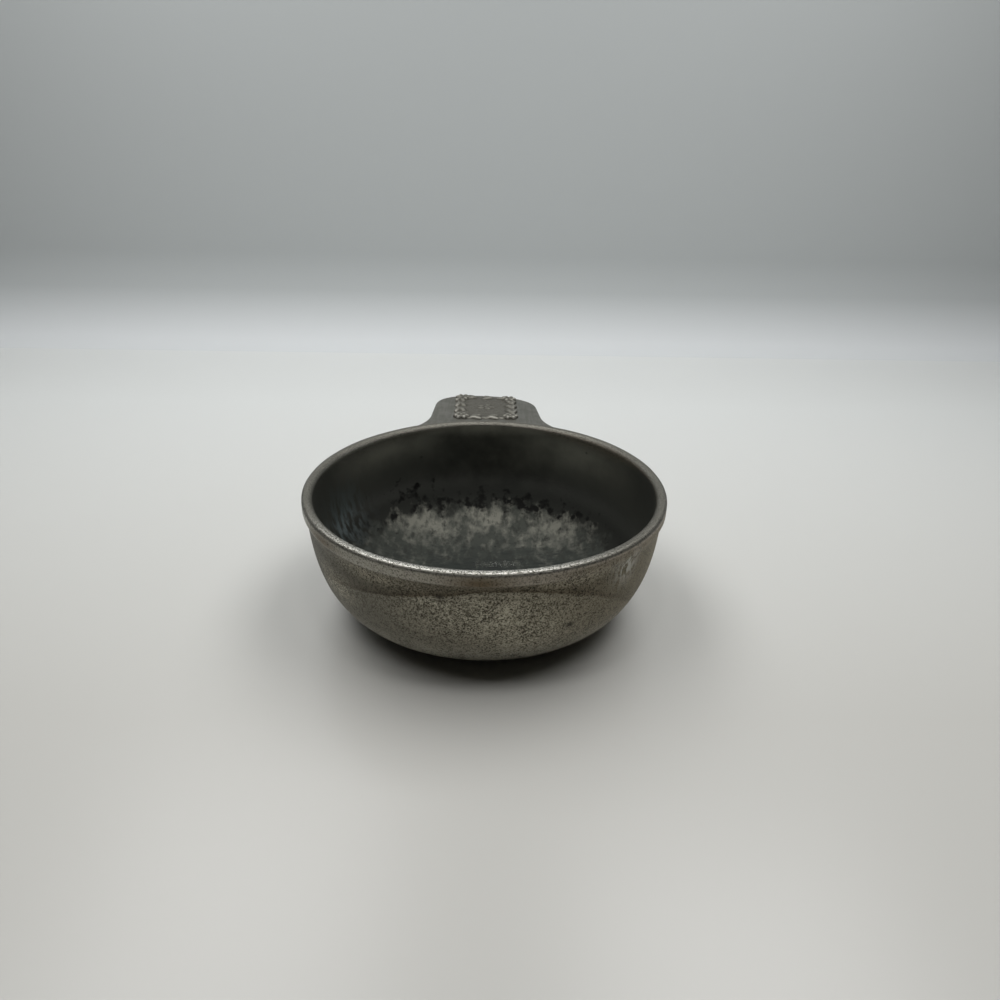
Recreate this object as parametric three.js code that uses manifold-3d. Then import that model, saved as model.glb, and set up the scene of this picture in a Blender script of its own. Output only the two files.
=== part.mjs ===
// A baby's porringer in cast pewter: a deep round bowl with a banded lip, a flat tab handle
// at the lip, and a small relief badge on the handle. Millimetres, +Z up. The origin is the
// centre of the flat base, and the handle points along +Y.
import * as THREE from 'three';
import { mergeVertices } from 'three/addons/utils/BufferGeometryUtils.js';
import Module from 'manifold-3d';

// Bowl
const rimRadius = 57.3; // out to the crest of the lip
const bowlHeight = 43;
const rimThickness = 3.25; // of the rounded crest
const lipHeight = 3.6; // of the band round the outside of the lip
const lipFlare = 0.1; // how far the band's lower edge stands out past the crest
const lipEdgeRound = 1.5;
const lipEdgeSlope = 20; // degrees, where the band's edge turns into the hollow under it
const lipStep = 0.76; // from the band in to the wall, at the rim's level
const coveHeight = 5.4; // of the shallow hollow under the band
const wallDraft = 0.057; // how much the wall leans in, per mm of depth
const bellyPower = 3.36; // fullness of the outside: 2 is an ellipse
const baseCut = 2.66; // depth that the flat base cuts off the belly's curve
const hollowPower = 3.6; // fullness of the inside
const floorThickness = 2.4;
const turnSteps = 72; // facets round the bowl

// Handle
const handleLength = 36.1; // from the crest of the lip out to the tip
const neckWidth = 43.8;
const endWidth = 41.8; // across the tab where its corners start to round
const handleThickness = 2.9;
const handleSetDown = 0.8; // top of the tab below the crest of the lip
const handleDroop = 2; // degrees
const handleEdgeRound = 0.7;
const flareWidth = 58; // across the root where it runs out along the lip
const flareLength = 16;
const cornerLength = 14;
const tipFlat = 21; // width of the shallow curve across the tip
const tipCrown = 1.1;
const rootCove = 3.4; // radius of the fillet under the root
const rootLedge = 0.5; // what is left of the fillet's lower edge
const seatGap = 0.3; // between parts that bear on each other

// Badge
const badgeSideMargin = 8.9; // from the badge out to the edge of the handle
const badgeTipMargin = 3.4;
const badgeRootMargin = 3.7; // from the crest of the lip to the badge
const badgeCorner = 5;
const fieldThickness = 0.4;
const borderWidth = 2.4;
const borderRise = 1.2; // of the leaf border above the handle
const leafPairs = 22; // round the border
const leafDepth = 0.35; // of the scallops that the leaves make
const rosetteRadius = 3.2;
const rosetteRise = 1.5;
const rosettePetals = 6;
const flowerRadius = 3.6;
const flowerRise = 0.8;
const flowerPetals = 5;

const slightest = 0.03; // slivers left by joining solids are closed up below this

const wasm = await Module();
wasm.setup();

// A closed geometry as a solid that can be joined and cut.
function solidOf(geometry) {
  const bare = geometry.clone();
  bare.deleteAttribute('normal');
  bare.deleteAttribute('uv');
  const welded = mergeVertices(bare);
  return new wasm.Manifold(new wasm.Mesh({
    numProp: 3,
    vertProperties: new Float32Array(welded.attributes.position.array),
    triVerts: new Uint32Array(welded.index.array),
  }));
}

function geometryOf(solid) {
  const mesh = solid.asOriginal().simplify(slightest).getMesh();
  const geometry = new THREE.BufferGeometry();
  geometry.setAttribute('position', new THREE.BufferAttribute(mesh.vertProperties, 3));
  geometry.setIndex(new THREE.BufferAttribute(mesh.triVerts, 1));
  geometry.computeVertexNormals();
  return geometry;
}

// Turns a profile of (radius, height) points round the Z axis.
function turned(profile, steps = turnSteps) {
  return new THREE.LatheGeometry(profile, steps).rotateX(Math.PI / 2);
}

// A quarter of a superellipse, from the wall at the rim's level down towards the axis. The
// draft leans it in as it goes down.
function bellyCurve(radius, draft, fullDepth, power, fromDepth, toDepth, steps) {
  const angleAt = (depth) => Math.asin((depth / fullDepth) ** (power / 2));
  const points = [];
  for (let i = 0; i <= steps; i++) {
    const angle = THREE.MathUtils.lerp(angleAt(fromDepth), angleAt(toDepth), i / steps);
    const depth = fullDepth * Math.sin(angle) ** (2 / power);
    const across = (radius - draft * depth) * Math.cos(angle) ** (2 / power);
    points.push(new THREE.Vector2(across, bowlHeight - depth));
  }
  return points;
}

// Points on an arc of a circle, with its angles in degrees from the outward direction.
function arc(centreRadius, centreHeight, radius, fromDegrees, toDegrees, steps) {
  const points = [];
  for (let i = 0; i <= steps; i++) {
    const angle = THREE.MathUtils.degToRad(THREE.MathUtils.lerp(fromDegrees, toDegrees, i / steps));
    points.push(new THREE.Vector2(
      centreRadius + radius * Math.cos(angle),
      centreHeight + radius * Math.sin(angle),
    ));
  }
  return points;
}

const lipRadius = rimRadius + lipFlare;
const wallRadius = lipRadius - lipStep;
const crestRadius = rimThickness / 2;
const lipBottom = bowlHeight - lipHeight;

function bowlGeometry() {
  const floor = bowlHeight - floorThickness;
  const outside = bellyCurve(
    wallRadius, wallDraft, bowlHeight + baseCut, bellyPower,
    lipHeight + coveHeight, bowlHeight, 11,
  ).reverse();
  const wallTop = outside.at(-1);
  const edgeTurn = THREE.MathUtils.degToRad(lipEdgeSlope);
  const edge = arc(
    lipRadius - lipEdgeRound, lipBottom + lipEdgeRound * Math.sin(edgeTurn), lipEdgeRound,
    -lipEdgeSlope, 0, 2,
  );

  // The cove leaves the wall along its draft and meets the band's edge along its slope.
  const coveRise = coveHeight * 0.35;
  const cove = new THREE.QuadraticBezierCurve(
    wallTop,
    new THREE.Vector2(wallTop.x + wallDraft * coveRise, wallTop.y + coveRise),
    edge[0],
  ).getPoints(4).slice(1, -1);
  const crest = arc(rimRadius - crestRadius, bowlHeight - crestRadius, crestRadius, 0, 180, 8);
  const inside = bellyCurve(
    rimRadius - rimThickness, 0, floor, hollowPower, crestRadius, floor, 14,
  );
  inside.shift(); // the crest ends there
  inside.pop();
  return turned([
    new THREE.Vector2(0, 0),
    ...outside,
    ...cove,
    ...edge,
    ...crest,
    ...inside,
    new THREE.Vector2(0, floorThickness),
  ]);
}

// The tab in plan, from the lip outwards: y is 0 at the crest of the lip.
function handleOutline() {
  const cornerStart = handleLength - cornerLength;
  const half = new THREE.Path();
  half.moveTo(flareWidth / 2, -flareLength / 2);
  half.quadraticCurveTo(neckWidth / 2 + 0.8, -flareLength / 12, neckWidth / 2, flareLength / 2);
  half.lineTo(endWidth / 2, cornerStart);
  half.bezierCurveTo(
    endWidth / 2 - 0.6, cornerStart + cornerLength * 0.5,
    THREE.MathUtils.lerp(tipFlat / 2, endWidth / 2, 0.55), handleLength - tipCrown - cornerLength * 0.2,
    tipFlat / 2, handleLength - tipCrown,
  );
  half.quadraticCurveTo(tipFlat / 4, handleLength, 0, handleLength);
  const right = half.getPoints(9);
  const left = right.slice(0, -1).reverse().map((p) => new THREE.Vector2(-p.x, p.y));
  return new THREE.Shape([...right, ...left]);
}

// The handle's own place: its y runs out along the drooping tab and z is 0 on its top face.
const handleGroup = new THREE.Group();
handleGroup.position.set(0, rimRadius, bowlHeight - handleSetDown);
handleGroup.rotation.x = -THREE.MathUtils.degToRad(handleDroop);
handleGroup.updateMatrixWorld();
const toHandle = handleGroup.matrixWorld.clone().invert();

function handleGeometry() {
  const outline = handleOutline();
  const tab = new THREE.ExtrudeGeometry(outline, {
    depth: handleThickness - 2 * handleEdgeRound,
    bevelThickness: handleEdgeRound,
    bevelSize: handleEdgeRound,
    bevelOffset: -handleEdgeRound,
    bevelSegments: 3,
  }).translate(0, 0, handleEdgeRound - handleThickness);

  // A filleted ring under the tab, kept only where the tab's root lies over it. It dies away
  // towards both ends of the flare, because a cylinder laid along the handle trims it.
  const seatRadius = lipRadius + seatGap;
  const underside = bowlHeight - handleSetDown - handleThickness;
  const ring = turned([
    new THREE.Vector2(rimRadius - rimThickness, underside - rootCove),
    ...arc(seatRadius + rootLedge + rootCove, underside - rootCove, rootCove, 180, 90, 5),
    new THREE.Vector2(seatRadius + rootLedge + rootCove, underside + handleThickness / 2),
    new THREE.Vector2(rimRadius - rimThickness, underside + handleThickness / 2),
    new THREE.Vector2(rimRadius - rimThickness, underside - rootCove),
  ]).applyMatrix4(toHandle);
  const column = new THREE.ExtrudeGeometry(outline, {
    depth: 2 * (handleThickness + rootCove),
    bevelEnabled: false,
  }).translate(0, 0, -2 * (handleThickness + rootCove));
  const keelRadius = ((flareWidth / 2) ** 2 + rootCove ** 2) / (2 * rootCove);
  const keel = new THREE.CylinderGeometry(keelRadius, keelRadius, 4 * handleLength, 2 * turnSteps)
    .translate(0, 0, keelRadius - handleThickness - rootCove);
  const fillet = solidOf(ring).intersect(solidOf(column)).intersect(solidOf(keel));

  // The lip's outside, a seat gap proud, takes away what would run into the bowl.
  const seat = turned([
    new THREE.Vector2(0, 0),
    new THREE.Vector2(seatRadius, 0),
    new THREE.Vector2(seatRadius, bowlHeight + handleThickness),
    new THREE.Vector2(0, bowlHeight + handleThickness),
  ]).applyMatrix4(toHandle);
  return geometryOf(solidOf(tab).add(fillet).subtract(solidOf(seat)));
}

// A rectangle with round corners about the origin, its edge waved by the leaves along it.
function leafyRectangle(width, length, corner, waves, waveDepth) {
  const plain = new THREE.Shape();
  const x = width / 2;
  const y = length / 2;
  plain.moveTo(x, -y + corner);
  plain.lineTo(x, y - corner);
  plain.absarc(x - corner, y - corner, corner, 0, Math.PI / 2);
  plain.lineTo(-x + corner, y);
  plain.absarc(-x + corner, y - corner, corner, Math.PI / 2, Math.PI);
  plain.lineTo(-x, -y + corner);
  plain.absarc(-x + corner, -y + corner, corner, Math.PI, Math.PI * 1.5);
  plain.lineTo(x - corner, -y);
  plain.absarc(x - corner, -y + corner, corner, Math.PI * 1.5, Math.PI * 2);
  const count = waves * 4;
  return plain.getSpacedPoints(count).slice(0, count).map((point, i) => {
    const tangent = plain.getTangentAt(i / count);
    const swell = waveDepth * Math.cos((2 * Math.PI * i) / 4);
    return new THREE.Vector2(point.x + tangent.y * swell, point.y - tangent.x * swell);
  });
}

// A round-petalled flower with rounded edges, from a little below z = 0 up to its rise.
function flower(radius, rise, petals) {
  const points = [];
  const count = petals * 8;
  for (let i = 0; i < count; i++) {
    const angle = (2 * Math.PI * i) / count;
    const reach = radius * (0.78 + 0.22 * Math.abs(Math.cos((petals * angle) / 2)));
    points.push(new THREE.Vector2(reach * Math.cos(angle), reach * Math.sin(angle)));
  }
  const round = Math.min(rise / 2, radius / 4);
  return new THREE.ExtrudeGeometry(new THREE.Shape(points), {
    depth: rise - round,
    bevelThickness: round,
    bevelSize: round,
    bevelOffset: -round,
    bevelSegments: 2,
  });
}

const badgeWidth = endWidth - 2 * badgeSideMargin;
const badgeLength = handleLength - badgeTipMargin - badgeRootMargin;

function badgeGeometry() {
  const outer = leafyRectangle(badgeWidth, badgeLength, badgeCorner, leafPairs, leafDepth);
  const inner = leafyRectangle(
    badgeWidth - 2 * borderWidth, badgeLength - 2 * borderWidth,
    badgeCorner - borderWidth, leafPairs, leafDepth,
  );
  const field = solidOf(new THREE.ExtrudeGeometry(new THREE.Shape(outer), {
    depth: fieldThickness,
    bevelEnabled: false,
  }));
  const borderShape = new THREE.Shape(outer);
  borderShape.holes.push(new THREE.Path(inner));
  const border = solidOf(new THREE.ExtrudeGeometry(borderShape, {
    depth: borderRise,
    bevelEnabled: false,
  }));
  let badge = field.add(border);
  const cornerX = badgeWidth / 2 - rosetteRadius * 0.7;
  const cornerY = badgeLength / 2 - rosetteRadius * 0.7;
  for (const sideX of [-1, 1]) {
    for (const sideY of [-1, 1]) {
      const rosette = flower(rosetteRadius, rosetteRise, rosettePetals);
      badge = badge.add(solidOf(rosette.translate(sideX * cornerX, sideY * cornerY, 0)));
    }
  }
  badge = badge.add(solidOf(flower(flowerRadius, flowerRise, flowerPetals)));

  // The flowers' lower edges are rounded too: the badge's back is cut flat above them.
  const front = new THREE.BoxGeometry(2 * badgeWidth, 2 * badgeLength, 2 * rosetteRise);
  return geometryOf(badge.intersect(solidOf(front.translate(0, 0, rosetteRise))));
}

function pewter(color, roughness) {
  return new THREE.MeshStandardMaterial({ color, metalness: 1, roughness });
}

const bowl = new THREE.Mesh(bowlGeometry(), pewter(0x6b6860, 0.55));
bowl.name = 'bowl';

const handle = new THREE.Mesh(handleGeometry(), pewter(0x77766f, 0.5));
handle.name = 'handle';

const badge = new THREE.Mesh(badgeGeometry(), pewter(0x716f68, 0.5));
badge.name = 'handle_badge';
badge.position.set(0, badgeRootMargin + badgeLength / 2, seatGap);

handleGroup.add(handle, badge);
const porringer = new THREE.Group();
porringer.add(bowl, handleGroup);

export default porringer;
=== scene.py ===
import math

import bmesh
import bpy
import numpy as np
from mathutils import Matrix, Vector, noise


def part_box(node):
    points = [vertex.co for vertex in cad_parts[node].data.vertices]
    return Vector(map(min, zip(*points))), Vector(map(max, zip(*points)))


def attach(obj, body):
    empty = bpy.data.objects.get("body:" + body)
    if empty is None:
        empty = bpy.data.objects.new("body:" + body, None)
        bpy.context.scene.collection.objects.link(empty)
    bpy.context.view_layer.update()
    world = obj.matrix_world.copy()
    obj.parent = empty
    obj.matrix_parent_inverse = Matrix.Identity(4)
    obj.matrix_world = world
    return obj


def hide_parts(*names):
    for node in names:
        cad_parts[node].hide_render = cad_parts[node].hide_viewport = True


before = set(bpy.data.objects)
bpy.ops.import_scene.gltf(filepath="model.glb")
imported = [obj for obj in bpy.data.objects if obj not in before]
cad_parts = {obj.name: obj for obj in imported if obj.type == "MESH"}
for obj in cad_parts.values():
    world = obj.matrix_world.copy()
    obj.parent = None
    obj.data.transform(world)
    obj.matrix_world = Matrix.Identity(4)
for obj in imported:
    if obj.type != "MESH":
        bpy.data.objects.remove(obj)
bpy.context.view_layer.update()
mm = 0.001
weldReach = 0.0005 * mm
frontTurn, handleTurn = -90, 90


# helpers

def hexLinear(text):
    parts = [int(text[i:i + 2], 16) / 255 for i in (1, 3, 5)]
    linear = [c / 12.92 if c <= 0.04045 else ((c + 0.055) / 1.055) ** 2.4 for c in parts]
    return (*linear, 1.0)


def smoothStep(low, high, value):
    t = np.clip((value - low) / (high - low), 0, 1)
    return t * t * (3 - 2 * t)


def bell(distance, reach):
    return np.exp(-(distance / reach) ** 2)


def turnBetween(around, turn):
    return (around - turn + 180) % 360 - 180


def bezier(corners, steps):
    points = []
    for t in np.linspace(0, 1, steps):
        row = [np.array(c, float) for c in corners]
        while len(row) > 1:
            row = [a + (b - a) * t for a, b in zip(row, row[1:])]
        points.append(row[0])
    return np.array(points)


def runAlong(line):
    return np.concatenate([[0], np.cumsum(np.hypot(*np.diff(line, axis=0).T))])


def pointsAt(line, run, stations):
    return np.column_stack([np.interp(stations, run, line[:, k]) for k in (0, 1)])


def evenlySpaced(line, spacing):
    run = runAlong(line)
    count = max(2, int(round(run[-1] / spacing)) + 1)
    return pointsAt(line, run, np.linspace(0, run[-1], count))


def gridFaces(rows, columns, start=0, wrap=False, flip=False):
    faces = []
    for i in range(rows - 1):
        a = start + i * columns
        b = a + columns
        for j in range(columns if wrap else columns - 1):
            k = (j + 1) % columns
            faces.append((a + j, b + j, b + k, a + k) if flip else (a + j, a + k, b + k, b + j))
    return faces


def makePiece(name, points, faces, material, masks=None):
    mesh = bpy.data.meshes.new(name)
    mesh.from_pydata(np.asarray(points).tolist(), [], faces)
    for title, values in (masks or {}).items():
        layer = mesh.attributes.new(title, "FLOAT", "POINT")
        layer.data.foreach_set("value", np.asarray(values, dtype=np.float32))
    joined = bmesh.new()
    joined.from_mesh(mesh)
    bmesh.ops.remove_doubles(joined, verts=joined.verts, dist=weldReach)
    bmesh.ops.recalc_face_normals(joined, faces=joined.faces)
    joined.to_mesh(mesh)
    joined.free()
    mesh.polygons.foreach_set("use_smooth", [True] * len(mesh.polygons))
    mesh.materials.append(material)
    piece = bpy.data.objects.new(name, mesh)
    bpy.context.scene.collection.objects.link(piece)
    return piece


def addNode(tree, kind, settings=None, inputs=None):
    node = tree.nodes.new(kind)
    for name, value in (settings or {}).items():
        setattr(node, name, value)
    for key, value in (inputs or {}).items():
        if isinstance(value, bpy.types.Node):
            value = next(out for out in value.outputs if out.enabled)
        if isinstance(value, bpy.types.NodeSocket):
            tree.links.new(value, node.inputs[key])
        else:
            node.inputs[key].default_value = value
    return node


def newMaterial(name):
    material = bpy.data.materials.new(name)
    material.use_nodes = True
    tree = material.node_tree
    tree.nodes.clear()
    return material, tree


def placeInMm(tree):
    where = addNode(tree, "ShaderNodeTexCoord")
    return addNode(tree, "ShaderNodeVectorMath", {"operation": "SCALE"}, {
        0: where.outputs["Object"], "Scale": 1 / mm})


def finishMetal(tree, colour, roughness, height, s):
    bump = addNode(tree, "ShaderNodeBump", None, {
        "Strength": 1.0, "Distance": s["relief"] * mm, "Height": height})
    shader = addNode(tree, "ShaderNodeBsdfPrincipled", None, {
        "Base Color": colour, "Metallic": s["metallic"], "Roughness": roughness,
        "Normal": bump})
    addNode(tree, "ShaderNodeOutputMaterial", None, {"Surface": shader})


# bowl

bowlSettings = {
    "height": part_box("bowl")[1].z / mm,
    # the banded lip, whose lower outer edge is eased by mm inward, downward and upward
    "lipRadius": 57.45, "lipHeight": 3.6, "shoulderRound": 1.2, "innerRound": 1.7,
    "edgeInward": 0.15, "edgeDownward": 0.3, "edgeUpward": 0.5,
    # how far below the rim the moulding under the lip has died into the wall, and how many mm
    # it first follows the wall
    "coveEnd": 8.0, "covePull": 2,
    # the wall leans in with depth, and the belly rounds it off towards the foot
    "wallRadius": 56.64, "wallDraft": 0.057, "bellyPower": 3.362, "bellyDepth": 45.66,
    "hollowRadius": 54.05, "hollowPower": 3.6, "floorThickness": 2.4,
    # the foot's eased edge, inward and upward, and the slight hollow under it, which ends
    # between two radii
    "footRound": 2.5, "footRise": 1.2, "underHollow": 0.35, "underHollowEdge": (22, 27),
    "frontFlat": 1.2,  # the real bowl is a little out of round at the front
    # unevenness of the casting and nicks in the lip: how deep and how large in mm, and where
    # in the noise the nicks are taken from
    "uneven": 0.06, "swellSize": 14, "rippleShare": 0.4, "rippleSize": 5,
    "nickDepth": 0.12, "nickSize": 3.1, "nickRareness": 0.3, "nickSeed": (7, 3, 1),
    # mm below the lip over which its finish ends, and below the rim where the inside's starts
    "finishEnds": 0.7, "insideStarts": 0.2,
    # steps round the bowl and along each curve, and then the spacing along the profile
    "turnSteps": 384, "lipSpacing": 0.2, "wallSpacing": 0.6,
    "curveSteps": {"under": 60, "foot": 9, "belly": 160, "cove": 14, "edge": 6, "round": 9,
                   "hollow": 240},

    # Marks of age, and painted light and shade, each as a mask on the bowl. A pair of numbers is
    # where a mark starts and where it is whole, in mm below the rim, or in degrees where its name
    # says turns. A spot is its middle in degrees and in mm below the rim, and how far it spreads
    # in degrees and in mm.
    "outsideSpots": {
        "lipStain": [(-91, 3, 9, 3), (-143, 2.5, 9, 2)],
        "scuff": [(-45, 7, 4.5, 5)],
        # painted light on the wall below the lip, most at its front, shown by more pale grain
        # there
        "paintedFrontLight": [(-90, 14.5, 22, 9), (-78, 22, 14, 7), (-120, 6, 16, 2.5), (-66, 5, 14, 2.5),
                   (-141, 17, 9, 5), (-104, 11, 9, 3)],
        # dent: painted shade of two small dents that the shape doesn't have
        "dent": [(-102, 8.5, 1.2, 0.9), (-64, 21, 1.3, 1.0)],
        # foot: a painted sheen low on the front of the belly
        "foot": [(-92, 33, 75, 6)]},
    "insideSpots": {
        # haze: painted light on the inside just below the rim, most on either side of the back
        "haze": [(134, 5, 24, 6), (50, 7, 24, 7), (90, 1, 60, 3.5)],
        "fringe": [(90, 30, 75, 4), (124, 25, 14, 5)],
        "smudge": [(163, 20, 12, 8)]},
    # spots on the floor: the middle and the reach, both in mm along X and Y
    "floorSpots": {
        "bareFloor": [(-24, 36, 13, 8), (30, 33, 15, 9), (2, 42, 10, 5), (-14, -24, 16, 9)],
        "coolFloor": [(3, 13, 46, 17), (20, -30, 20, 10)],
        "fleck": [(5, 16, 7, 2)]},
    # painted shade on the wall under the lip, down to a wobbling lower edge
    "paintedLipShade": {
        # the lower edge: mm below the rim at the front, what each degree to the left of it
        # adds, and what the square of the degrees to the right adds
        "depth": 5.9, "leftward": 0.2, "rightward": 0.0064,
        "softness": 0.4, "wobble": 0.5, "wobbleDegrees": 6, "wobbleSeed": 2.0,
        # how strong the painted shade above its dark lower edge is, how wide the edge is, and the
        # degrees from the front over which each of them fades
        "shadeBody": 0.5, "shadeBodyFades": (12, 76), "edgeWidth": 1.1, "edgeFades": (48, 72)},
    # where the stain inside comes in softly, under the painted light below the rim: the middle
    # and the spread in degrees, and over how many mm of depth
    "softRims": [(138, 28, 6.5), (42, 26, 6)],
    # the dull flat top of the lip, and a highlight painted along its crest, which fades in
    # degrees from its middle
    "rimTop": (1.3, 0.5), "worn": (0.34, 0.1), "highlightTurns": (58, 20), "highlightMiddle": -102,
    # to the right of the front the lip is less burnished and keeps its grain: how much, and
    # the degrees from the front
    "grainyLip": 0.75, "grainyTurns": (8, 30), "grainyEnd": 90, "grainyDepths": (1, 2),
    # the skin's dark grain is strongest in one place and thins out round the bowl
    "coarseMiddle": -75, "coarseSpread": 50, "coarseLeast": 0.6,
    # inside: the spread in degrees of the painted shade on the back wall under the handle,
    # outside which the walls are painted lighter, then the bend into the floor, and the floor
    "backShadeSpread": 30, "bend": (17, 28), "low": (26, 40),

    # Each pattern's size in mm, its detail and its roughness. Mould sand is about 0.3 mm and is
    # drawn at 0.5, as fine as still shows.
    "patterns": {
        "mottle": (7, 4, 0.6), "clump": (1.5, 3, 0.6), "grain": (0.5, 4, 0.8),
        "lipGrain": (0.5, 3, 0.7), "cloud": (9, 3, 0.5), "patch": (3.4, 3, 0.55),
        "ragged": (4.6, 4, 0.6), "stroke": (2.1, 3, 0.55), "spot": (3.2, 3, 0.5),
        "scratch": (1.6, 3, 0.6), "wipe": (2.2, 3, 0.5), "smear": (1.5, 3, 0.55)},
    # patterns that are drawn out, down the wall or across the floor
    "drawnOut": {
        "scratch": (1, 1, 0.4), "wipe": (1, 1, 0.3), "smear": (0.3, 1, 1),
        "patch": (1, 0.6, 0.6), "ragged": (1, 0.6, 0.6), "stroke": (1, 0.6, 0.6)},
    "grit": {"grain": 0.74, "clump": 0.16, "mottle": 0.1},
    # a pattern or mark, its weight, and the pattern or mark that it is added to
    "mixed": {
        "crowded": ("fringe", 0.27, "spot"), "shore": ("ragged", 1.3, "low"),
        "bare": ("bareFloor", 0.3, "patch")},
    # How much of each layer shows: what it follows, where that starts to show, where it is
    # whole, and the mark that bounds it.
    "shares": {
        "darkGrain": ("grit", 0.515, 0.42, "coarse"),
        # the pale grain shows only where light is painted on the wall
        "paleGrain": ("grit", 0.468, 0.568, "paintedFrontLight"),
        "scratched": ("scratch", 0.42, 0.54, "scuff"),
        "lipDark": ("lipGrain", 0.52, 0.3, None),
        # the painted highlight on the lip's crest, broken up by the lip's grain into glints
        "paintedCrestHighlight": ("lipGrain", 0.4, 0.6, "worn"),
        "wallPale": ("cloud", 0.35, 0.65, None),
        # painted light inside just below the rim, in clouds
        "paintedRimLight": ("cloud", -0.1, 0.6, "haze"),
        "blotched": ("crowded", 0.7, 0.83, None),
        "smudged": ("wipe", 0.4, 0.58, "smudge"),
        "floor": ("shore", 0.93, 1.18, None),
        "floorPale": ("bare", 0.5, 0.78, None),
        "floorCool": ("ragged", 0.3, 0.5, "coolFloor"),
        "floorSpeck": ("stroke", 0.5, 0.26, None),
        "floorSmear": ("smear", 0.5, 0.68, "coolFloor"),
        "flecked": ("lipGrain", 0.59, 0.64, "fleck")},
    # Each zone's own colour, then what is laid over it, in order: a colour or an earlier zone,
    # and the share or mark that it follows.
    "zones": {
        "skin": ("coolSkin", {
            "warmSkin": "warm", "paintedFootSheen": "foot", "darkGrain": "darkGrain",
            "paleGrain": "paleGrain", "paintedLipShade": "paintedLipShade", "paintedDentShade": "dent",
            "scratched": "scratched"}),
        "lip": ("lipPale", {
            "lipWarm": "warm", "lipBrown": "lipStain", "rimDull": "rimTop",
            "paintedCrestHighlight": "paintedCrestHighlight", "darkGrain": "lipDark"}),
        "floor": ("floorDark", {
            "floorPale": "floorPale", "floorCool": "floorCool", "floorSpeck": "floorSpeck",
            "floorSmear": "floorSmear", "flecked": "flecked"}),
        "inside": ("wallDark", {
            "wallPale": "wallPale", "paintedSideLight": "side", "wallLow": "bend", "paintedRimLight": "paintedRimLight",
            "floor": "floor", "blotched": "blotched", "smudged": "smudged"})},
    "colours": {
        # the pale grey laid over the foot mark is a painted sheen
        "coolSkin": "#75736a", "warmSkin": "#8f8773", "paintedFootSheen": "#b4b0a2",
        "darkGrain": "#35322a", "paleGrain": "#cec9b7", "paintedLipShade": "#94897a",
        "paintedDentShade": "#2a2722", "scratched": "#bcbbb3",
        "lipPale": "#aeada3", "lipWarm": "#a3988a", "lipBrown": "#6c604d",
        "rimDull": "#76746c", "paintedCrestHighlight": "#d3d1c9",
        "wallDark": "#3c3d39", "wallPale": "#5c5c56", "paintedSideLight": "#6c6d67",
        "wallLow": "#363733", "paintedRimLight": "#b6b5a9", "blotched": "#1d1d1b", "smudged": "#838f90",
        "floorDark": "#52544e", "floorPale": "#8a897f", "floorCool": "#383c39",
        "floorSpeck": "#3b3c38", "floorSmear": "#343735", "flecked": "#c8c8c2"},
    "skinRoughness": 0.6, "lipRoughness": 0.42, "rimRoughness": 0.27,
    "wallRoughness": 0.36, "floorRoughness": 0.8,
    # how high the skin's grit stands in mm, then how the lip's grain and the pits compare, and
    # the inside's level, which is the middle of the grain
    "relief": 0.14, "lipRelief": 1.6, "pitDepth": 0.3, "insideLevel": 0.5,
    "metallic": 0.85,
}


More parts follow.
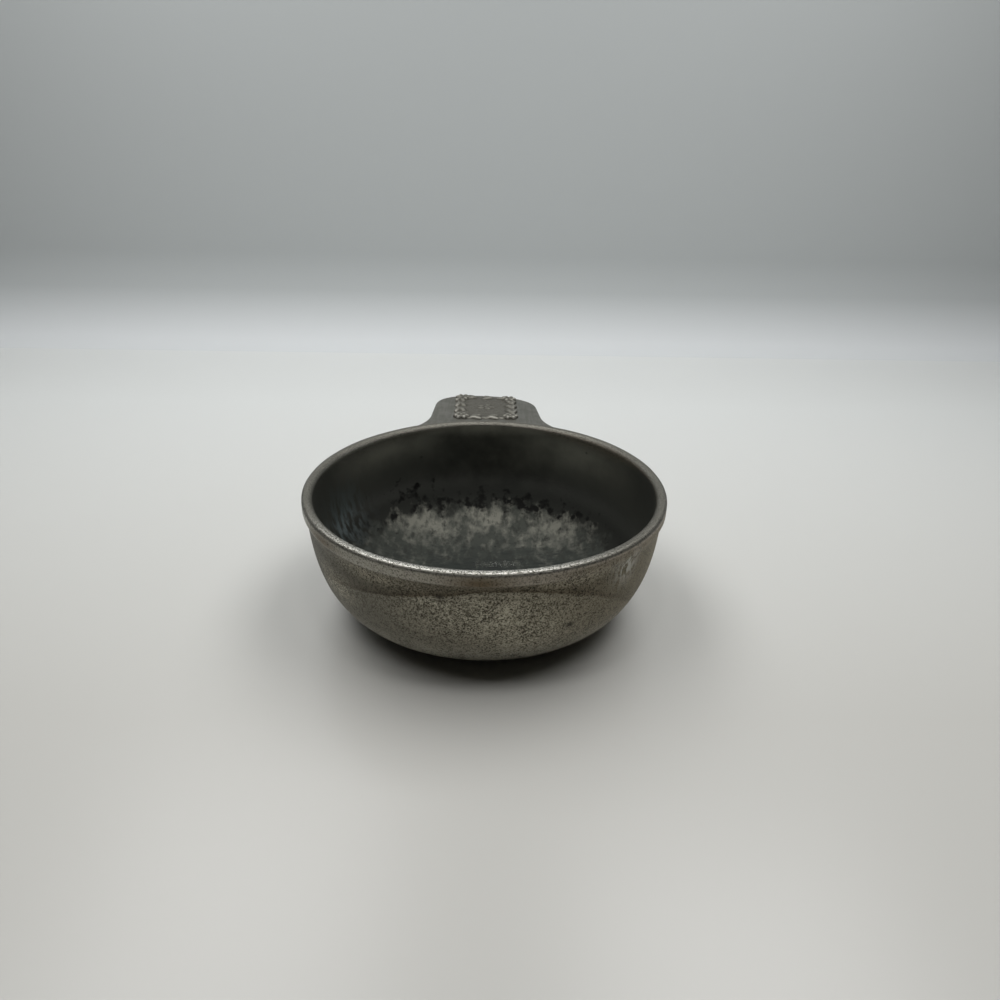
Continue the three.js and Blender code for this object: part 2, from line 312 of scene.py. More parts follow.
# Sand-cast pewter, darkened with age. The skin keeps the grit of the mould, so it looks like
# fine salt and pepper and hardly mirrors anything. The lip is burnished by handling, and the
# inside was turned smooth and has since been stained and pitted by food. Light and shade are
# also painted on: shade on the wall under the lip and in two dents, light on the front of the
# wall, a sheen low on the belly, a highlight along the lip's crest, and light on the inside
# walls, most just below the rim.
def castPewterBowl(s, marks):
    material, tree = newMaterial("cast_pewter_bowl")
    where = placeInMm(tree)
    made = {name: addNode(tree, "ShaderNodeAttribute", {"attribute_name": name})
            for name in marks}
    for name, (size, detail, roughness) in s["patterns"].items():
        drawn = addNode(tree, "ShaderNodeVectorMath", {"operation": "MULTIPLY"}, {
            0: where, 1: s["drawnOut"].get(name, (1, 1, 1))})
        made[name] = addNode(tree, "ShaderNodeTexNoise", None, {
            "Vector": drawn, "Scale": 1 / size, "Detail": detail, "Roughness": roughness})
    made["grit"] = 0.0
    for name, weight in s["grit"].items():
        made["grit"] = addNode(tree, "ShaderNodeMath", {"operation": "MULTIPLY_ADD"}, {
            0: made[name], 1: weight, 2: made["grit"]})
    for name, (added, weight, ground) in s["mixed"].items():
        made[name] = addNode(tree, "ShaderNodeMath", {"operation": "MULTIPLY_ADD"}, {
            0: made[added], 1: weight, 2: made[ground]})
    for name, (source, start, whole, bound) in s["shares"].items():
        made[name] = addNode(tree, "ShaderNodeMapRange", None, {
            "Value": made[source], "From Min": start, "From Max": whole})
        if bound:
            made[name] = addNode(tree, "ShaderNodeMath", {"operation": "MULTIPLY"}, {
                0: made[name], 1: made[bound]})

    colours = {name: hexLinear(text) for name, text in s["colours"].items()}
    for zone, (ground, layers) in s["zones"].items():
        colours[zone] = colours[ground]
        for name, follows in layers.items():
            # the painted shade under the lip darkens the colours under it instead of covering
            # them
            blend = "MULTIPLY" if name == "paintedLipShade" else "MIX"
            colours[zone] = addNode(
                tree, "ShaderNodeMix", {"data_type": "RGBA", "blend_type": blend},
                {0: made[follows], 6: colours[zone], 7: colours[name]})

    lipRough = addNode(tree, "ShaderNodeMapRange", None, {
        "Value": made["worn"], "To Min": s["lipRoughness"], "To Max": s["rimRoughness"]})
    insideRough = addNode(tree, "ShaderNodeMapRange", None, {
        "Value": made["bend"],
        "To Min": s["wallRoughness"], "To Max": s["floorRoughness"]})
    lipHeight = addNode(tree, "ShaderNodeMath", {"operation": "MULTIPLY"}, {
        0: made["lipGrain"], 1: s["lipRelief"]})
    pits = addNode(tree, "ShaderNodeMath", {"operation": "MULTIPLY_ADD"}, {
        0: made["blotched"], 1: -s["pitDepth"], 2: s["insideLevel"]})
    colour, rough, height = colours["skin"], s["skinRoughness"], made["grit"]
    for zone, zoneRough, zoneHeight in (("lip", lipRough, lipHeight),
                                        ("inside", insideRough, pits)):
        colour = addNode(tree, "ShaderNodeMix", {"data_type": "RGBA"}, {
            0: made[zone], 6: colour, 7: colours[zone]})
        rough, height = [addNode(tree, "ShaderNodeMix", None, {0: made[zone], 2: a, 3: b})
                         for a, b in ((rough, zoneRough), (height, zoneHeight))]
    finishMetal(tree, colour, rough, height, s)
    return material


# Painted shade on the wall under the lip: whole above a wobbling lower edge that sinks further
# below the rim to each side, with a darker line along that edge, both fading away from the front.
def paintedLipShadeShare(g, around, fromFront, depth):
    wave = np.array([noise.noise(Vector((a / g["wobbleDegrees"], 0.0, g["wobbleSeed"])))
                     for a in around])
    edge = g["depth"] + g["wobble"] * wave[None, :] + np.where(
        fromFront < 0, -g["leftward"] * fromFront, g["rightward"] * fromFront ** 2)
    shadeBody, line = [1 - smoothStep(*g[fades], np.abs(fromFront))
                  for fades in ("shadeBodyFades", "edgeFades")]
    line *= np.exp(-np.clip(edge - depth, 0, None) / g["edgeWidth"])
    above = smoothStep(edge + g["softness"], edge - g["softness"], depth)
    return above * (g["shadeBody"] * shadeBody + (1 - g["shadeBody"]) * line)


def wearMasks(s, profile, onLip, within):
    around = 360 * np.arange(s["turnSteps"]) / s["turnSteps"]
    turn, depth = np.meshgrid(around, profile[:, 1])
    fromFront = turnBetween(turn, frontTurn)
    x, y = [profile[:, :1] * way(np.radians(turn)) for way in (np.cos, np.sin)]
    onLip, within = [line[:, None] * np.ones_like(turn) for line in (onLip, within)]
    masks = {}
    for side, share in (("outsideSpots", 1 - within), ("insideSpots", within)):
        for name, spots in s[side].items():
            masks[name] = share * np.max([
                bell(turnBetween(turn, at), across) * bell(depth - below, down)
                for at, below, across, down in spots], axis=0)
    for name, spots in s["floorSpots"].items():
        masks[name] = within * np.max([
            bell(x - cx, wide) * bell(y - cy, long) for cx, cy, wide, long in spots], axis=0)

    masks["paintedLipShade"] = (1 - within) * paintedLipShadeShare(s["paintedLipShade"], around, fromFront, depth)
    masks["warm"] = 0.5 + 0.5 * np.cos(np.radians(turn))
    masks["coarse"] = s["coarseLeast"] + (1 - s["coarseLeast"]) * bell(
        turnBetween(turn, s["coarseMiddle"]), s["coarseSpread"])
    grainy = s["grainyLip"] * smoothStep(*s["grainyTurns"], fromFront) \
        * smoothStep(*s["grainyDepths"], depth) * (fromFront < s["grainyEnd"])
    masks["lip"] = onLip * (1 - grainy)
    masks["rimTop"] = onLip * smoothStep(*s["rimTop"], depth)
    # a highlight painted along the lip's crest, whole at the top and fading round the bowl away
    # from its middle
    masks["worn"] = onLip * smoothStep(*s["worn"], depth) * smoothStep(
        *s["highlightTurns"], np.abs(turnBetween(turn, s["highlightMiddle"])))

    softened = np.max([down * bell(turnBetween(turn, at), across)
                       for at, across, down in s["softRims"]], axis=0)
    masks["inside"] = within * smoothStep(0, 1 + softened, depth)
    # painted light on the inside walls, all round but for the painted shade on the back wall
    # under the handle
    masks["side"] = within * (1 - bell(turnBetween(turn, handleTurn), s["backShadeSpread"]))
    masks["bend"] = within * smoothStep(*s["bend"], depth)
    lowStart, lowEnd = s["low"]
    masks["low"] = within * np.clip((depth - lowStart) / (lowEnd - lowStart), 0, 1)
    return {name: values.ravel() for name, values in masks.items()}


def wallAt(depth, s):
    full = np.clip(1 - (depth / s["bellyDepth"]) ** s["bellyPower"], 0, 1)
    return (s["wallRadius"] - s["wallDraft"] * depth) * full ** (1 / s["bellyPower"])


# Points of (radius, depth below the rim) from the centre of the underside, round the lip, to
# the centre of the floor. Each curve is drawn finely and then spaced out evenly.
def bowlProfile(s):
    steps = s["curveSteps"]
    footEnd = s["height"] - s["footRise"]
    footRadius = wallAt(s["height"], s)
    under = np.array([
        (r, s["height"] - s["underHollow"] * (1 - smoothStep(*s["underHollowEdge"], r)))
        for r in np.linspace(0, footRadius - s["footRound"], steps["under"])])
    footEdge = bezier([under[-1], (footRadius, s["height"]), (wallAt(footEnd, s), footEnd)],
                      steps["foot"])
    depths = s["bellyDepth"] * np.sin(np.linspace(
        math.asin(footEnd / s["bellyDepth"]), math.asin(s["coveEnd"] / s["bellyDepth"]),
        steps["belly"]))
    belly = np.column_stack([wallAt(depths, s), depths])
    slope = (belly[-1] - belly[-2]) / (belly[-1][1] - belly[-2][1])
    lipEdge = (s["lipRadius"] - s["edgeInward"], s["lipHeight"] + s["edgeDownward"])
    cove = bezier([belly[-1], belly[-1] - slope * s["covePull"], lipEdge], steps["cove"])
    edge = bezier([lipEdge, (s["lipRadius"], s["lipHeight"]),
                   (s["lipRadius"], s["lipHeight"] - s["edgeUpward"])], steps["edge"])
    turns = np.radians(np.linspace(0, 90, steps["round"]))
    out, into = s["shoulderRound"], s["innerRound"]
    shoulder = np.column_stack([s["lipRadius"] - out + out * np.cos(turns),
                                out - out * np.sin(turns)])
    inner = np.column_stack([s["hollowRadius"] + into - into * np.sin(turns),
                             into - into * np.cos(turns)])
    floor = s["height"] - s["floorThickness"]
    angles = np.linspace(math.asin((into / floor) ** (s["hollowPower"] / 2)), math.pi / 2,
                         steps["hollow"])
    hollow = np.column_stack([
        s["hollowRadius"] * np.cos(angles) ** (2 / s["hollowPower"]),
        floor * np.sin(angles) ** (2 / s["hollowPower"])])
    hollow[-1] = (0, floor)
    lip = np.vstack([cove, edge, shoulder, inner])
    return [evenlySpaced(np.vstack([under, footEdge[1:], belly[1:]]), s["wallSpacing"]),
            evenlySpaced(lip, s["lipSpacing"])[1:],
            evenlySpaced(np.vstack([lip[-1:], hollow]), s["wallSpacing"])[1:]]


def buildBowl(s):
    outer, lip, hollow = bowlProfile(s)
    profile = np.vstack([outer, lip, hollow])
    run = np.gradient(profile, axis=0)
    outward = np.column_stack([run[:, 1], -run[:, 0]])
    outward /= -np.hypot(*outward.T)[:, None]
    lipRows = slice(len(outer), len(outer) + len(lip))
    onLip = np.zeros(len(profile))
    onLip[lipRows] = smoothStep(s["lipHeight"] + s["finishEnds"], s["lipHeight"], lip[:, 1])
    within = np.zeros(len(profile))
    within[lipRows] = np.where(lip[:, 0] < s["hollowRadius"] + s["innerRound"],
                               smoothStep(s["insideStarts"], s["innerRound"], lip[:, 1]), 0)
    within[lipRows.stop:] = 1

    points = []
    for (radius, depth), (outR, outD), lipShare in zip(profile, outward, onLip):
        for k in range(s["turnSteps"]):
            angle = 2 * math.pi * k / s["turnSteps"]
            x, y = math.cos(angle), math.sin(angle)
            here = Vector((x * radius, y * radius, depth))
            swell = s["uneven"] * (noise.noise(here / s["swellSize"])
                                   + s["rippleShare"] * noise.noise(here / s["rippleSize"]))
            nick = noise.noise(here / s["nickSize"] + Vector(s["nickSeed"]))
            swell -= s["nickDepth"] * lipShare * max(0, nick - s["nickRareness"])
            r = radius + outR * swell
            front = max(0, -y) ** 2 * s["frontFlat"] / s["lipRadius"]
            points.append((x * r * mm, y * r * (1 - front) * mm,
                           (s["height"] - depth - outD * swell) * mm))
    faces = gridFaces(len(profile), s["turnSteps"], wrap=True)
    masks = wearMasks(s, profile, onLip, within)
    return makePiece("bowl_shell", points, faces, castPewterBowl(s, masks), masks)


print("bowl")
bowl = buildBowl(bowlSettings)
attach(bowl, "root")
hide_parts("bowl")


# handle

crestRadius = 57.0  # from the bowl's axis to the lip's crest, where the handle's own y is 0
handleSettings = {
    "length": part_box("handle")[1].y / mm - crestRadius,
    "top": bowlSettings["height"] - 0.8,  # the rim stands a little above the handle's root
    "thickness": 2.9, "droop": 2.0,
    # The real tab is a little twisted, more towards its tip: degrees, and mm from the crest
    # where the twist starts and from the tip where it is whole.
    "twist": 1.8, "twistStart": 2, "twistEnd": 4,
    "neckWidth": 43.8, "endWidth": 41.8, "flareWidth": 58, "flareLength": 16,
    "cornerLength": 14, "tipFlat": 21, "tipCrown": 1.1, "edgeRound": 0.8,
    # where the curves of the outline bend most: pulls and drop in mm, and shares of the
    # flare's length and of the way from the tip's flat to the side
    "flarePull": 0.8, "flareBend": 1 / 12,
    "cornerPull": 0.6, "cornerDrop": 2.8, "cornerShare": 0.55,
    # the fillet under the root, the round that the root follows, and how many lengths of the
    # flare it takes to straighten out
    "rootCove": 3.4, "rootRadius": 55.9, "rootBend": 1.6,
    # rows along each curve, and columns in mm from the edge: close together over its round,
    # and then evenly to the middle
    "curveSteps": {"flare": 26, "side": 12, "corner": 26, "across": 14},
    "nearEdge": (0, 0.02, 0.07, 0.15, 0.27, 0.42, 0.6, 0.85, 1.2, 1.8, 2.8, 4.2),
    "evenStart": 5.6, "evenCount": 12,

    # two greys, and where the noise turns from one into the other
    "satin": "#83817a", "shade": "#72716a", "shadeStarts": 0.8, "shadeWhole": 1.2,
    # The marks in mm, drawn out along the handle, and the clouds. Real marks are finer and are
    # drawn coarser so that they show.
    "rub": 1.2, "rubDrawnOut": (1.0, 0.12, 1.0), "cloud": 7,
    "satinRoughness": 0.38, "shadeRoughness": 0.48, "relief": 0.012, "metallic": 0.9,
}


# Cast pewter rubbed down to a satin: even grey, a soft sheen, faint marks along the rubbing.
def satinPewter(s):
    material, tree = newMaterial("satin_pewter")
    where = placeInMm(tree)
    along = addNode(tree, "ShaderNodeVectorMath", {"operation": "MULTIPLY"}, {
        0: where, 1: s["rubDrawnOut"]})
    rub = addNode(tree, "ShaderNodeTexNoise", None, {
        "Vector": along, "Scale": 1 / s["rub"], "Detail": 4.0})
    cloud = addNode(tree, "ShaderNodeTexNoise", None, {
        "Vector": where, "Scale": 1 / s["cloud"], "Detail": 3.0})
    both = addNode(tree, "ShaderNodeMath", {"operation": "ADD"}, {0: rub, 1: cloud})
    share = addNode(tree, "ShaderNodeMapRange", None, {
        "Value": both, "From Min": s["shadeStarts"], "From Max": s["shadeWhole"]})
    colour = addNode(tree, "ShaderNodeMix", {"data_type": "RGBA"}, {
        0: share, 6: hexLinear(s["satin"]), 7: hexLinear(s["shade"])})
    rough = addNode(tree, "ShaderNodeMapRange", None, {
        "Value": share, "To Min": s["satinRoughness"], "To Max": s["shadeRoughness"]})
    finishMetal(tree, colour, rough, rub, s)
    return material


# From the handle's own place, in mm, to the frame.
def onHandle(x, y, z):
    s = handleSettings
    droop = math.radians(s["droop"])
    twist = math.radians(s["twist"]) * smoothStep(
        s["twistStart"], s["length"] - s["twistEnd"], y)
    rise = z - np.tan(twist) * x
    return np.stack([
        x * mm,
        (crestRadius + y * math.cos(droop) + rise * math.sin(droop)) * mm,
        (s["top"] - y * math.sin(droop) + rise * math.cos(droop)) * mm], axis=-1)


# Half of the outline, from the root to the middle of the tip.
def handleEdge(s):
    steps = s["curveSteps"]
    cornerStart = s["length"] - s["cornerLength"]
    crownStart = s["length"] - s["tipCrown"]
    neck, end, tip = s["neckWidth"] / 2, s["endWidth"] / 2, s["tipFlat"] / 2
    flare = bezier([(s["flareWidth"] / 2, -s["flareLength"] / 2),
                    (neck + s["flarePull"], -s["flareLength"] * s["flareBend"]),
                    (neck, s["flareLength"] / 2)], steps["flare"])
    side = bezier([(neck, s["flareLength"] / 2), (end, cornerStart)], steps["side"])
    corner = bezier([(end, cornerStart),
                     (end - s["cornerPull"], cornerStart + s["cornerLength"] / 2),
                     (tip + (end - tip) * s["cornerShare"], crownStart - s["cornerDrop"]),
                     (tip, crownStart)], steps["corner"])
    across = bezier([(tip, crownStart), (tip / 2, s["length"]), (0, s["length"])],
                    steps["across"])
    return np.vstack([flare, side[1:], corner[1:], across[1:]])


def distanceTo(line, x, y):
    best = np.full(x.shape, np.inf)
    for (ax, ay), (bx, by) in zip(line, line[1:]):
        dx, dy = bx - ax, by - ay
        t = np.clip(((x - ax) * dx + (y - ay) * dy) / (dx * dx + dy * dy), 0, 1)
        best = np.minimum(best, np.hypot(x - ax - t * dx, y - ay - t * dy))
    return best


def buildHandle(s, material):
    edge = handleEdge(s)
    widest = s["neckWidth"] / 2
    evenly = np.linspace(s["evenStart"], widest, s["evenCount"])
    half = np.concatenate([s["nearEdge"], evenly]) / widest
    across = np.concatenate([half - 1, (1 - half[:-1])[::-1]])
    x = edge[:, :1] * across[None, :]
    # rows bend round the lip at the root and straighten towards the tip
    rootY = np.sqrt(s["rootRadius"] ** 2 - x ** 2) - crestRadius
    rootEdge = np.sqrt(s["rootRadius"] ** 2 - edge[:, :1] ** 2) - crestRadius
    bend = 1 - smoothStep(-s["flareLength"] / 2, s["flareLength"] * s["rootBend"], edge[:, 1:])
    y = edge[:, 1:] + bend * (rootY - rootEdge)
    mirrored = np.vstack([edge, edge[-2::-1] * (-1, 1)])
    inset = np.clip(distanceTo(mirrored, x, y) / s["edgeRound"], 0, 1)
    drop = s["edgeRound"] * (1 - np.sqrt(1 - (1 - inset) ** 2))
    # a fillet under the root, where the handle meets the lip
    reach = np.hypot(x, y + crestRadius) - bowlSettings["lipRadius"]
    out = np.clip(s["rootCove"] - np.clip(reach, 0, None), 0, None)
    cove = s["rootCove"] - np.sqrt(s["rootCove"] ** 2 - out ** 2)
    cove *= np.clip(1 - (x / (s["flareWidth"] / 2)) ** 2, 0, 1)
    top = onHandle(x, y, -drop)
    under = onHandle(x, y, drop - s["thickness"] - cove)
    rows, columns = x.shape
    count = rows * columns
    faces = gridFaces(rows, columns) + gridFaces(rows, columns, count, flip=True)
    for side in (0, columns - 1):
        for i in range(rows - 1):
            a, b = i * columns + side, (i + 1) * columns + side
            faces.append((a, b, b + count, a + count))
    for j in range(columns - 1):
        faces.append((j, j + 1, j + 1 + count, j + count))
    points = np.vstack([top.reshape(-1, 3), under.reshape(-1, 3)])
    return makePiece("handle_tab", points, faces, material)


print("handle")
handle = buildHandle(handleSettings, satinPewter(handleSettings))
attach(handle, "root")
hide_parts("handle")


# badge

badgeSettings = {
    "width": 24.0, "length": 29.0, "fromCrest": 4.0, "corner": 5.0,
    # how high the middle field and the bed of the border stand on the handle
    "field": 0.4, "bed": 0.45, "borderWidth": 3.0,
    "leafRise": 1.15, "leafPairs": 13, "leafLong": 2.9, "leafWide": 1.15, "leafSplay": 27,
    # shares of a leaf: how far out its middle is, the depth and width of the vein along it,
    # and how high its edge stands
    "leafOut": 0.6, "veinDepth": 0.14, "veinWidth": 0.16, "leafEdge": 0.15,
    "rosetteRadius": 3.2, "rosetteRise": 1.5, "rosettePetals": 6, "rosetteInset": 0.7,
    "flowerRadius": 3.6, "flowerRise": 0.8, "flowerPetals": 5,
    # shares of a flower's radius, and of its rise
    "petalOut": 0.6, "petalLong": 0.42, "petalWide": 0.3, "heart": 0.26, "petalRise": 0.9,
    # the relief is one sheet of points: how far it is sunk into the handle round the badge,
    # how deep its underside is, and how far it reaches past the badge
    "sunk": 0.5, "depth": 0.9, "margin": 0.9, "spacing": 0.15, "cornerSteps": 9,
    # unevenness of the casting in mm: lumps and finer speckles, whole from bareRise up
    "rough": 0.1, "bareRise": 0.6, "lumpSize": 1.7,
    "speckleSize": 0.7, "speckleShare": 0.5, "speckleSeed": 5.0,
    # passes that ease the relief, passes that even it out to tell what stands high, and how
    # that turns into the mask
    "easing": 5, "evening": 40, "highBase": 0.35, "highGain": 1.6,

    # two greys, and where the mask turns from one into the other
    "hollow": "#53514a", "high": "#8f8d85", "highStarts": 0.45, "highWhole": 1.0,
    # the grit in mm, drawn a little coarser than mould sand so that it shows, and its share
    "grain": 0.45, "grainShare": 0.5,
    "hollowRoughness": 0.7, "highRoughness": 0.54, "relief": 0.03, "metallic": 0.9,
}
belowAll = -9.0  # mm: lower than any part of the relief


# Pewter cast in relief and never polished between the leaves: dark in the hollows, where the
# patina stays, and bare grey on the high points.
def reliefPewter(s):
    material, tree = newMaterial("relief_pewter")
    grit = addNode(tree, "ShaderNodeTexNoise", None, {
        "Vector": placeInMm(tree), "Scale": 1 / s["grain"], "Detail": 3.0})
    height = addNode(tree, "ShaderNodeAttribute", {"attribute_name": "high"})
    worn = addNode(tree, "ShaderNodeMath", {"operation": "MULTIPLY_ADD"}, {
        0: grit, 1: s["grainShare"], 2: height})
    share = addNode(tree, "ShaderNodeMapRange", None, {
        "Value": worn, "From Min": s["highStarts"], "From Max": s["highWhole"]})
    colour = addNode(tree, "ShaderNodeMix", {"data_type": "RGBA"}, {
        0: share, 6: hexLinear(s["hollow"]), 7: hexLinear(s["high"])})
    rough = addNode(tree, "ShaderNodeMapRange", None, {
        "Value": share, "To Min": s["hollowRoughness"], "To Max": s["highRoughness"]})
    finishMetal(tree, colour, rough, grit, s)
    return material


def roundedEdge(x, y, halfWidth, halfLength, corner):
    qx, qy = np.abs(x) - halfWidth + corner, np.abs(y) - halfLength + corner
    return np.hypot(np.clip(qx, 0, None), np.clip(qy, 0, None)) \
        + np.minimum(np.maximum(qx, qy), 0) - corner


def leafBump(s, x, y, cx, cy, turn, long, wide, rise):
    dx, dy = x - cx, y - cy
    along = dx * math.cos(turn) + dy * math.sin(turn)
    over = dy * math.cos(turn) - dx * math.sin(turn)
    body = 1 - (along / long) ** 2 - (over / wide) ** 2
    dome = np.sqrt(np.clip(body, 0, 1)) * (1 - s["leafEdge"]) + s["leafEdge"]
    vein = s["veinDepth"] * bell(over, s["veinWidth"] * wide)
    return np.where(body > 0, rise * (dome - vein), belowAll)


def flowerBump(s, x, y, cx, cy, radius, rise, petals, base):
    height = np.full(x.shape, belowAll)
    for k in range(petals):
        turn = 2 * math.pi * k / petals
        petal = leafBump(s, x, y, cx + s["petalOut"] * radius * math.cos(turn),
                         cy + s["petalOut"] * radius * math.sin(turn), turn,
                         s["petalLong"] * radius, s["petalWide"] * radius,
                         (rise - base) * s["petalRise"])
        height = np.maximum(height, base + petal)
    heart = 1 - ((x - cx) ** 2 + (y - cy) ** 2) / (s["heart"] * radius) ** 2
    boss = np.where(heart > 0, base + (rise - base) * np.sqrt(np.clip(heart, 0, 1)), belowAll)
    return np.maximum(height, boss)


def soften(height, times):
    for _ in range(times):
        for axis in (0, 1):
            height = (np.roll(height, 1, axis) + 2 * height + np.roll(height, -1, axis)) / 4
    return height


# Middles of the leaf pairs and the way each pair points, along a rounded line inside the edge.
def leafPlaces(s, inset):
    corner = s["corner"] - inset
    x, y = s["width"] / 2 - inset - corner, s["length"] / 2 - inset - corner
    line = []
    for cx, cy, start in ((x, y, 0), (-x, y, 90), (-x, -y, 180), (x, -y, 270)):
        for a in np.radians(np.linspace(start, start + 90, s["cornerSteps"])):
            line.append((cx + corner * math.cos(a), cy + corner * math.sin(a)))
    line = np.array(line + line[:1])
    run = runAlong(line)
    at = (np.arange(s["leafPairs"]) + 0.5) * run[-1] / s["leafPairs"]
    places, justAhead = [pointsAt(line, run, (at + step) % run[-1]) for step in (0, 0.1)]
    ahead = justAhead - places
    return zip(places, np.arctan2(ahead[:, 1], ahead[:, 0]))


def badgeRelief(s, x, y):
    outside = roundedEdge(x, y, s["width"] / 2, s["length"] / 2, s["corner"])
    height = np.where(outside < 0, s["field"], -s["sunk"])
    height = np.where((outside < 0) & (outside > -s["borderWidth"]), s["bed"], height)
    for (cx, cy), turn in leafPlaces(s, s["borderWidth"] / 2):
        for side in (-1, 1):
            splay = turn + side * math.radians(s["leafSplay"])
            reach = s["leafOut"] * s["leafLong"]
            leaf = leafBump(s, x, y, cx + reach * math.cos(splay), cy + reach * math.sin(splay),
                            splay, s["leafLong"], s["leafWide"], s["leafRise"])
            height = np.maximum(height, leaf)
    cornerX, cornerY = [s[size] / 2 - s["rosetteRadius"] * s["rosetteInset"]
                        for size in ("width", "length")]
    for sideX in (-1, 1):
        for sideY in (-1, 1):
            height = np.maximum(height, flowerBump(
                s, x, y, sideX * cornerX, sideY * cornerY,
                s["rosetteRadius"], s["rosetteRise"], s["rosettePetals"], s["bed"]))
    middle = flowerBump(s, x, y, 0, 0, s["flowerRadius"], s["flowerRise"], s["flowerPetals"],
                        s["field"])
    return np.maximum(height, middle)


def buildBadge(s, material):
    xs, ys = [np.arange(-s[size] / 2 - s["margin"], s[size] / 2 + s["margin"], s["spacing"])
              for size in ("width", "length")]
    x, y = np.meshgrid(xs, ys)
    height = soften(badgeRelief(s, x, y), s["easing"])
    lumps = np.array([
        noise.noise(Vector((a / s["lumpSize"], b / s["lumpSize"], 0.0)))
        + s["speckleShare"] * noise.noise(
            Vector((a / s["speckleSize"], b / s["speckleSize"], s["speckleSeed"])))
        for a, b in zip(x.ravel(), y.ravel())]).reshape(x.shape)
    height = height + s["rough"] * lumps * smoothStep(0, s["bareRise"], height)
    stands = height - soften(height, s["evening"])
    high = np.clip(s["highBase"] + stands * s["highGain"], 0, 1)
    centre = s["fromCrest"] + s["length"] / 2
    front = onHandle(x, y + centre, height)
    back = onHandle(x, y + centre, np.full(x.shape, -s["depth"]))
    rows, columns = x.shape
    faces = gridFaces(rows, columns)
    rim = list(range(columns))
    rim += [i * columns + columns - 1 for i in range(1, rows)]
    rim += [(rows - 1) * columns + j for j in range(columns - 2, -1, -1)]
    rim += [i * columns for i in range(rows - 2, 0, -1)]
    lower = list(range(rows * columns, rows * columns + len(rim)))
    for k in range(len(rim)):
        n = (k + 1) % len(rim)
        faces.append((rim[n], rim[k], lower[k], lower[n]))
    faces.append(tuple(lower))
    points = np.vstack([front.reshape(-1, 3), back.reshape(-1, 3)[rim]])
    highs = np.concatenate([high.ravel(), np.zeros(len(rim))])
    return makePiece("handle_relief", points, faces, material, {"high": highs})


print("badge")
badge = buildBadge(badgeSettings, reliefPewter(badgeSettings))
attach(badge, "root")
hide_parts("handle_badge")


# stage: a pale table that sweeps up into a paper backdrop

stageSettings = {
    "front": -1400, "back": 310, "sweep": 60, "sweepSteps": 17, "height": 900,
    "halfWidth": 1500,
    # colours from the front of the table to its back, lighter behind as painted light, and from
    # the foot of the paper up, darker higher up as painted shade, with the axis and the mm over
    # which one turns into the other, and the roughness
    "table": ("#c3c2bd", "#dee0de", "Y", -60, 200, 0.3),
    "paper": ("#d8dbdc", "#b8bcbc", "Z", 4, 34, 0.9),
}


# Colour that turns from one to another along an axis, to paint the light: the table lighter
# towards its back, and the paper lighter at its foot than higher up.
def surfaceWithPaintedLight(name, near, far, axis, start, end, roughness):
    material, tree = newMaterial(name)
    where = addNode(tree, "ShaderNodeSeparateXYZ", None, {"Vector": placeInMm(tree)})
    share = addNode(tree, "ShaderNodeMapRange", None, {
        "Value": where.outputs[axis], "From Min": start, "From Max": end})
    colour = addNode(tree, "ShaderNodeMix", {"data_type": "RGBA"}, {
        0: share, 6: hexLinear(near), 7: hexLinear(far)})
    shader = addNode(tree, "ShaderNodeBsdfPrincipled", None, {
        "Base Color": colour, "Roughness": roughness})
    addNode(tree, "ShaderNodeOutputMaterial", None, {"Surface": shader})
    return material


def buildStage(s):
    wide = s["halfWidth"] * mm
    table = makePiece("table_top", [(-wide, s["front"] * mm, 0), (wide, s["front"] * mm, 0),
                                    (wide, s["back"] * mm, 0), (-wide, s["back"] * mm, 0)],
                      [(0, 1, 2, 3)], surfaceWithPaintedLight("pale_table", *s["table"]))
    sweep = [(s["back"] + s["sweep"] * math.sin(a), s["sweep"] * (1 - math.cos(a)))
             for a in np.radians(np.linspace(0, 90, s["sweepSteps"]))]
    line = sweep + [(s["back"] + s["sweep"], s["height"])]
    points = [(side * wide, y * mm, z * mm) for y, z in line for side in (-1, 1)]
    paper = makePiece("paper_sweep", points, gridFaces(len(line), 2),
                      surfaceWithPaintedLight("matt_paper", *s["paper"]))


print("stage")
buildStage(stageSettings)


# lights: softboxes hung flat over the table, one to each side, and a small one in front

lightSettings = {
    # each lamp's place and size in mm, and its share of the light in the middle of the bowl's
    # mouth, which is at litHeight
    "lamps": {
        "front_lamp": ((-4, -125, 490), (60, 50), 0.048),
        "left_lamp": ((-220, 95, 490), (265, 660), 0.52),
        "right_lamp": ((216, 40, 490), (268, 490), 0.47)},
    "litHeight": 43,
    "surround": "#dfe3e6", "surroundStrength": 0.015,
}


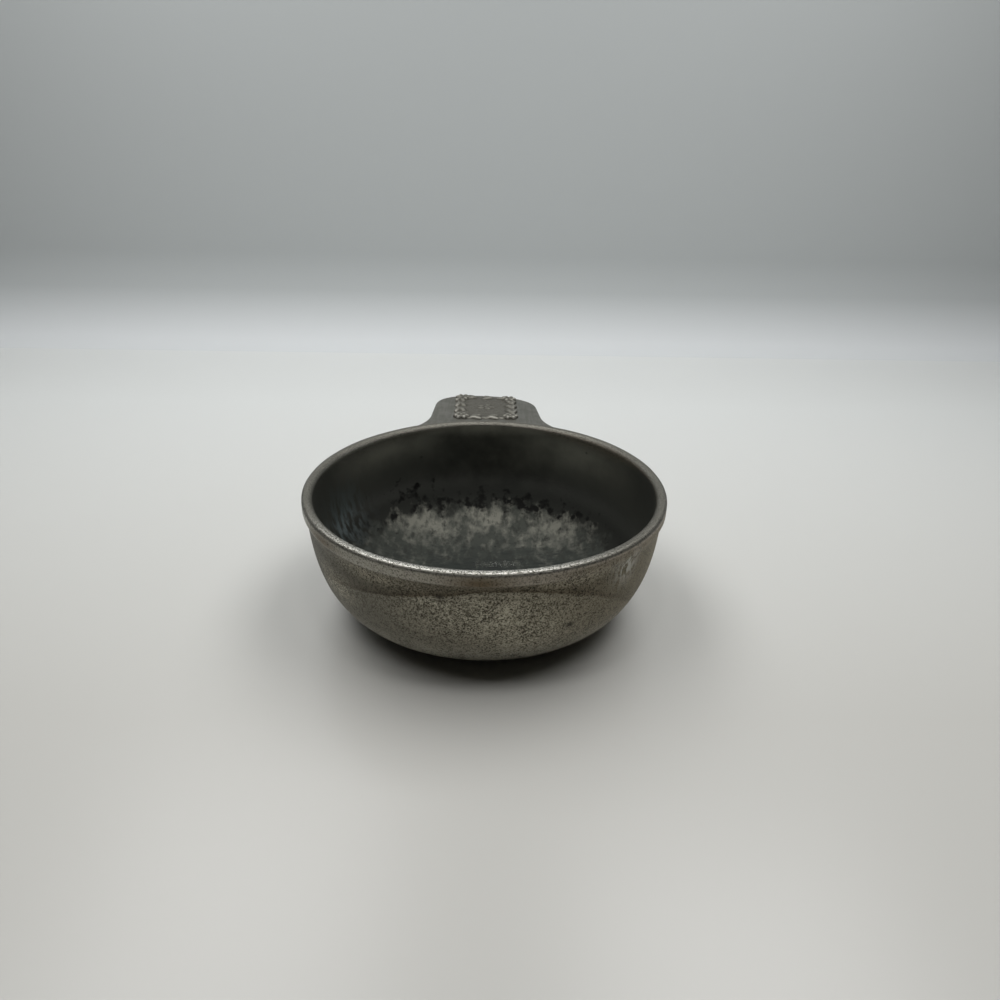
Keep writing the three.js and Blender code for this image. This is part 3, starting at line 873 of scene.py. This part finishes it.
def hangLamp(name, place, size, share, litHeight):
    place = Vector(place)
    line = place - Vector((0, 0, litHeight))
    lamp = bpy.data.lights.new(name, "AREA")
    lamp.shape = "RECTANGLE"
    lamp.size, lamp.size_y = [side * mm for side in size]
    # watts that give the lamp's share there, whatever its distance and slant
    lamp.energy = share * math.pi * 4 * (line.length * mm) ** 2 / line.normalized().z ** 2
    holder = bpy.data.objects.new(name, lamp)
    holder.location = place * mm
    bpy.context.scene.collection.objects.link(holder)


def lightSurround(colour, strength):
    world = bpy.data.worlds.new("surround")
    bpy.context.scene.world = world
    world.use_nodes = True
    tree = world.node_tree
    tree.nodes.clear()
    glow = addNode(tree, "ShaderNodeBackground", None, {
        "Color": hexLinear(colour), "Strength": strength})
    addNode(tree, "ShaderNodeOutputWorld", None, {"Surface": glow})


print("lights")
for name, (place, size, share) in lightSettings["lamps"].items():
    hangLamp(name, place, size, share, lightSettings["litHeight"])
lightSurround(lightSettings["surround"], lightSettings["surroundStrength"])


# camera: a phone's main camera, tilted a little

cameraSettings = {
    # mm in front of the bowl's axis and above the table, then degrees, then mm of the lens
    "before": 218.7, "height": 144.0, "turn": 1.27, "down": 26.17, "roll": 1.14,
    "lens": 27.04, "sensor": 36,
}


def placeCamera(c):
    turn, down, roll = (math.radians(c[k]) for k in ("turn", "down", "roll"))
    forward = Vector((math.sin(turn) * math.cos(down), math.cos(turn) * math.cos(down),
                      -math.sin(down)))
    level = Vector((math.cos(turn), -math.sin(turn), 0))
    up = level.cross(forward)
    right = level * math.cos(roll) + up * math.sin(roll)
    up = right.cross(forward)
    camera = bpy.data.cameras.new("camera")
    camera.sensor_width, camera.lens = c["sensor"], c["lens"]
    holder = bpy.data.objects.new("camera", camera)
    holder.matrix_world = Matrix((
        (right.x, up.x, -forward.x, 0), (right.y, up.y, -forward.y, -c["before"] * mm),
        (right.z, up.z, -forward.z, c["height"] * mm), (0, 0, 0, 1)))
    bpy.context.scene.collection.objects.link(holder)
    bpy.context.scene.camera = holder


print("camera")
placeCamera(cameraSettings)
bpy.context.scene.view_settings.view_transform = "Standard"
